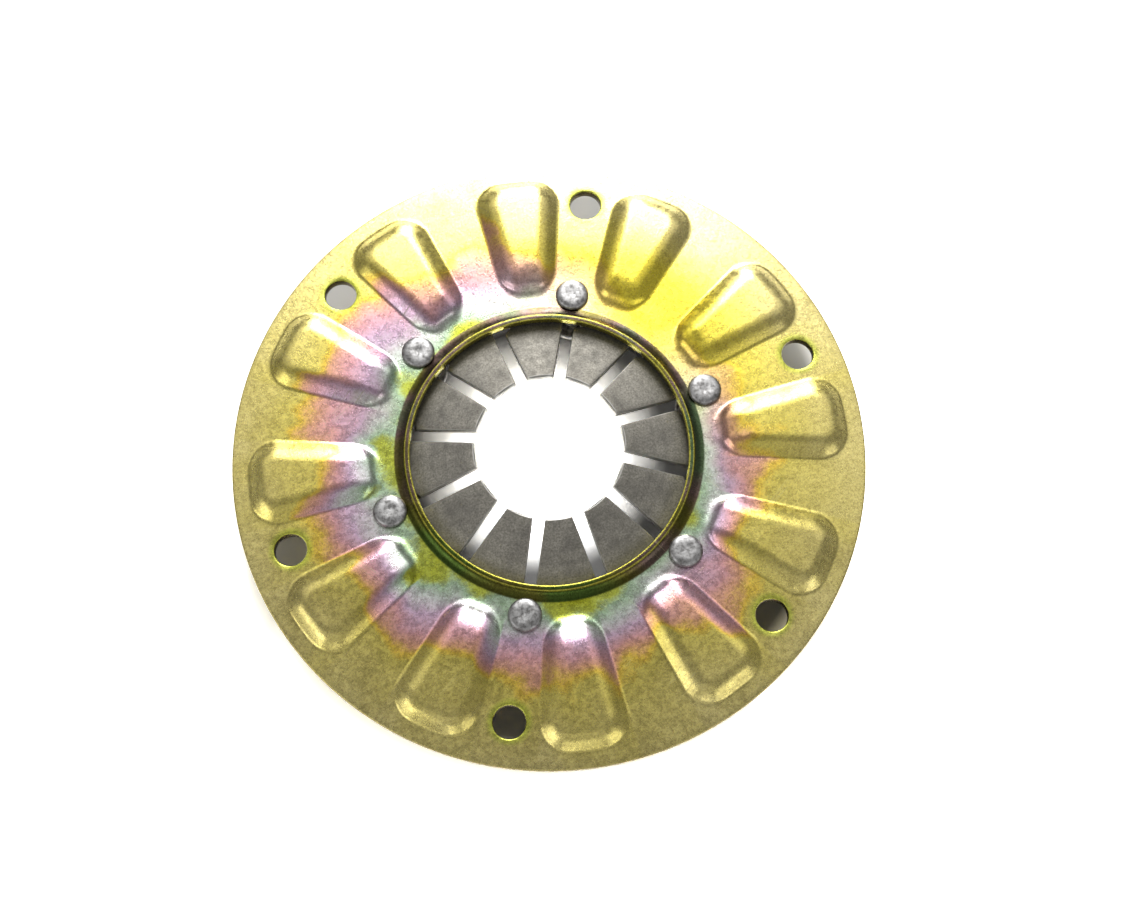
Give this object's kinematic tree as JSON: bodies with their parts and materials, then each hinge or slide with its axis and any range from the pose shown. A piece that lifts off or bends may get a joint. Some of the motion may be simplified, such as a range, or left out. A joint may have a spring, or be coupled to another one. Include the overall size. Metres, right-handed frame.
{
  "type": "clutch pressure plate",
  "caption": "Flat ribbed clutch cover with a slotted diaphragm spring rocking on wire rings and a clipped pressure ring that lifts as the spring's fingers are pressed.",
  "frame": {"origin": "centre of the bolt circle on the cover's mounting face", "axes": "+Z along the axis of rotation from the flywheel side towards the release bearing; +X through one bolt hole"},
  "size_m": [0.168, 0.168, 0.0256],
  "materials": {
    "yellow_zinc": "yellow zinc dichromate plating with rainbow interference tints",
    "spring_steel": "satin oiled spring steel",
    "rivet_steel": "dull formed steel",
    "wire_steel": "drawn wire",
    "machined_iron": "turned face and turned back",
    "clip_steel": "blued strip",
    "screw_steel": "black oxide"
  },
  "bodies": {
    "cover_assembly": {"cover": "yellow_zinc", "diaphragm_belt": "spring_steel", "upper_fulcrum_ring": "wire_steel", "lower_fulcrum_ring": "wire_steel", "shouldered_rivet_1": "rivet_steel", "shouldered_rivet_2": "rivet_steel", "shouldered_rivet_3": "rivet_steel", "shouldered_rivet_4": "rivet_steel", "shouldered_rivet_5": "rivet_steel", "shouldered_rivet_6": "rivet_steel"},
    "pressure_ring_assembly": {"pressure_ring": "machined_iron", "retraction_clip_1": "clip_steel", "retraction_clip_2": "clip_steel", "retraction_clip_3": "clip_steel", "retraction_clip_4": "clip_steel", "retraction_clip_5": "clip_steel", "retraction_clip_6": "clip_steel", "clip_screw_1": "screw_steel", "clip_screw_2": "screw_steel", "clip_screw_3": "screw_steel", "clip_screw_4": "screw_steel", "clip_screw_5": "screw_steel", "clip_screw_6": "screw_steel"},
    "finger_01": {"diaphragm_finger_01": "spring_steel"},
    "finger_02": {"diaphragm_finger_02": "spring_steel"},
    "finger_03": {"diaphragm_finger_03": "spring_steel"},
    "finger_04": {"diaphragm_finger_04": "spring_steel"},
    "finger_05": {"diaphragm_finger_05": "spring_steel"},
    "finger_06": {"diaphragm_finger_06": "spring_steel"},
    "finger_07": {"diaphragm_finger_07": "spring_steel"},
    "finger_08": {"diaphragm_finger_08": "spring_steel"},
    "finger_09": {"diaphragm_finger_09": "spring_steel"},
    "finger_10": {"diaphragm_finger_10": "spring_steel"},
    "finger_11": {"diaphragm_finger_11": "spring_steel"},
    "finger_12": {"diaphragm_finger_12": "spring_steel"}
  },
  "joints": [
    {"name": "pressure_ring_lift", "type": "slide", "parent": "cover_assembly", "child": "pressure_ring_assembly", "axis": [0, 0, 1], "range_m": [0, 0.00236], "stiffness_N_per_m": 40000, "springref_m": -0.0004, "deforming": ["diaphragm_belt"]},
    {"name": "finger_01_rock", "type": "hinge", "parent": "cover_assembly", "child": "finger_01", "pos_m": [0.04878, 0.01307, -0.00574], "axis": [0.2588, -0.9659, 0], "range_deg": [0, 14.3]},
    {"name": "finger_02_rock", "type": "hinge", "parent": "cover_assembly", "child": "finger_02", "pos_m": [0.03571, 0.03571, -0.00574], "axis": [0.7071, -0.7071, 0], "range_deg": [0, 14.3]},
    {"name": "finger_03_rock", "type": "hinge", "parent": "cover_assembly", "child": "finger_03", "pos_m": [0.01307, 0.04878, -0.00574], "axis": [0.9659, -0.2588, 0], "range_deg": [0, 14.3]},
    {"name": "finger_04_rock", "type": "hinge", "parent": "cover_assembly", "child": "finger_04", "pos_m": [-0.01307, 0.04878, -0.00574], "axis": [0.9659, 0.2588, 0], "range_deg": [0, 14.3]},
    {"name": "finger_05_rock", "type": "hinge", "parent": "cover_assembly", "child": "finger_05", "pos_m": [-0.03571, 0.03571, -0.00574], "axis": [0.7071, 0.7071, 0], "range_deg": [0, 14.3]},
    {"name": "finger_06_rock", "type": "hinge", "parent": "cover_assembly", "child": "finger_06", "pos_m": [-0.04878, 0.01307, -0.00574], "axis": [0.2588, 0.9659, 0], "range_deg": [0, 14.3]},
    {"name": "finger_07_rock", "type": "hinge", "parent": "cover_assembly", "child": "finger_07", "pos_m": [-0.04878, -0.01307, -0.00574], "axis": [-0.2588, 0.9659, 0], "range_deg": [0, 14.3]},
    {"name": "finger_08_rock", "type": "hinge", "parent": "cover_assembly", "child": "finger_08", "pos_m": [-0.03571, -0.03571, -0.00574], "axis": [-0.7071, 0.7071, 0], "range_deg": [0, 14.3]},
    {"name": "finger_09_rock", "type": "hinge", "parent": "cover_assembly", "child": "finger_09", "pos_m": [-0.01307, -0.04878, -0.00574], "axis": [-0.9659, 0.2588, 0], "range_deg": [0, 14.3]},
    {"name": "finger_10_rock", "type": "hinge", "parent": "cover_assembly", "child": "finger_10", "pos_m": [0.01307, -0.04878, -0.00574], "axis": [-0.9659, -0.2588, 0], "range_deg": [0, 14.3]},
    {"name": "finger_11_rock", "type": "hinge", "parent": "cover_assembly", "child": "finger_11", "pos_m": [0.03571, -0.03571, -0.00574], "axis": [-0.7071, -0.7071, 0], "range_deg": [0, 14.3]},
    {"name": "finger_12_rock", "type": "hinge", "parent": "cover_assembly", "child": "finger_12", "pos_m": [0.04878, -0.01307, -0.00574], "axis": [-0.2588, -0.9659, 0], "range_deg": [0, 14.3]}
  ],
  "couplings": [
    {"joint": "finger_01_rock", "follows": "pressure_ring_lift", "rad_per_m": 105.5},
    {"joint": "finger_02_rock", "follows": "pressure_ring_lift", "rad_per_m": 105.5},
    {"joint": "finger_03_rock", "follows": "pressure_ring_lift", "rad_per_m": 105.5},
    {"joint": "finger_04_rock", "follows": "pressure_ring_lift", "rad_per_m": 105.5},
    {"joint": "finger_05_rock", "follows": "pressure_ring_lift", "rad_per_m": 105.5},
    {"joint": "finger_06_rock", "follows": "pressure_ring_lift", "rad_per_m": 105.5},
    {"joint": "finger_07_rock", "follows": "pressure_ring_lift", "rad_per_m": 105.5},
    {"joint": "finger_08_rock", "follows": "pressure_ring_lift", "rad_per_m": 105.5},
    {"joint": "finger_09_rock", "follows": "pressure_ring_lift", "rad_per_m": 105.5},
    {"joint": "finger_10_rock", "follows": "pressure_ring_lift", "rad_per_m": 105.5},
    {"joint": "finger_11_rock", "follows": "pressure_ring_lift", "rad_per_m": 105.5},
    {"joint": "finger_12_rock", "follows": "pressure_ring_lift", "rad_per_m": 105.5}
  ]
}
